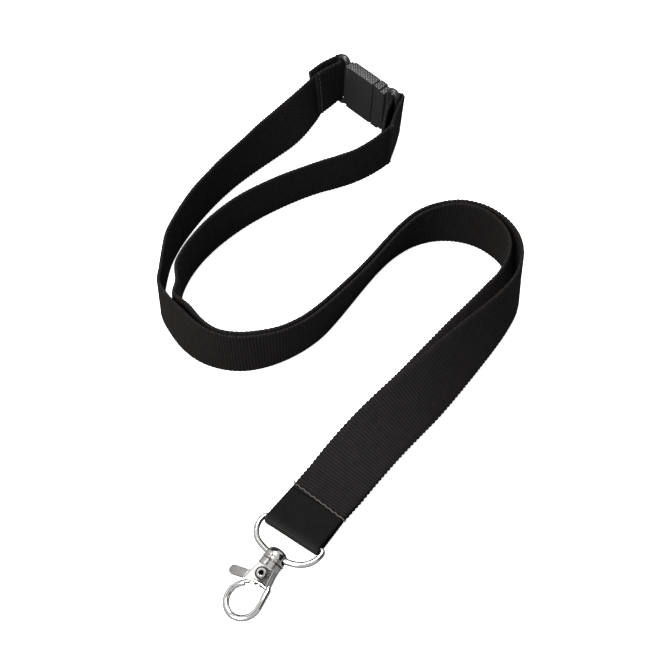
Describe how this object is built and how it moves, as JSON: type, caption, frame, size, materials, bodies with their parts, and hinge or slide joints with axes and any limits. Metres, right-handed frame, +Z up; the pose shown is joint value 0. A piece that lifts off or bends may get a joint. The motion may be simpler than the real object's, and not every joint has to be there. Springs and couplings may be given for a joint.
{
  "type": "neck lanyard",
  "caption": "Neck lanyard of doubled black webbing lying in loose curves, with a breakaway buckle, a D-ring and a nickel swivel trigger hook.",
  "frame": {"origin": "centre of the lanyard's outline as it lies, on the surface it lies on", "axes": "+Z up from the surface, +Y along the lanyard's length from the hook to the buckle, +X to the right"},
  "size_m": [0.1286, 0.2267, 0.0261],
  "materials": {
    "webbing": "ribbed polyester webbing, near black with a slight sheen",
    "thread": "polyester sewing thread",
    "buckle_plastic": "moulded acetal with a fine spark texture",
    "hardware": "polished nickel plate over die-cast zinc and steel wire"
  },
  "bodies": {
    "root": {"outer_strand": "webbing", "inner_strand": "webbing", "ring_loop": "webbing", "ring_stitching": "thread", "socket_loop": "webbing", "socket_loop_stitching": "thread", "buckle_socket": "buckle_plastic"},
    "plug_half": {"buckle_plug": "buckle_plastic", "snap_arms": "buckle_plastic", "plug_loop": "webbing", "plug_loop_stitching": "thread"},
    "d_ring": {"d_ring": "hardware"},
    "swivel_eye": {"swivel_eye": "hardware"},
    "hook": {"hook_body": "hardware", "lever_rivet": "hardware", "lever_spring": "hardware"},
    "trigger": {"trigger_lever": "hardware"}
  },
  "joints": [
    {"name": "breakaway", "type": "slide", "parent": "root", "child": "plug_half", "axis": [0.7061, -0.7061, -0.0523], "range_m": [0, 0.012], "deforming": ["snap_arms"]},
    {"name": "ring_swing", "type": "hinge", "parent": "root", "child": "d_ring", "pos_m": [-0.0142, -0.0868, 0.0039], "axis": [0.7979, -0.5904, 0.1219], "range_deg": [-75, 75]},
    {"name": "eye_tilt", "type": "hinge", "parent": "d_ring", "child": "swivel_eye", "pos_m": [-0.01919, -0.09474, 0.00465], "axis": [0.7979, -0.5904, 0.1219], "range_deg": [-70, 70]},
    {"name": "swivel", "type": "hinge", "parent": "swivel_eye", "child": "hook", "pos_m": [-0.02289, -0.09991, 0.00387], "axis": [0.5784, 0.8067, 0.121], "continuous": true},
    {"name": "trigger_press", "type": "hinge", "parent": "hook", "child": "trigger", "pos_m": [-0.02289, -0.09991, 0.00387], "axis": [-0.1697, -0.026, 0.9851], "range_deg": [0, 18], "stiffness_Nm_per_rad": 0.05, "springref_deg": -17.19}
  ]
}
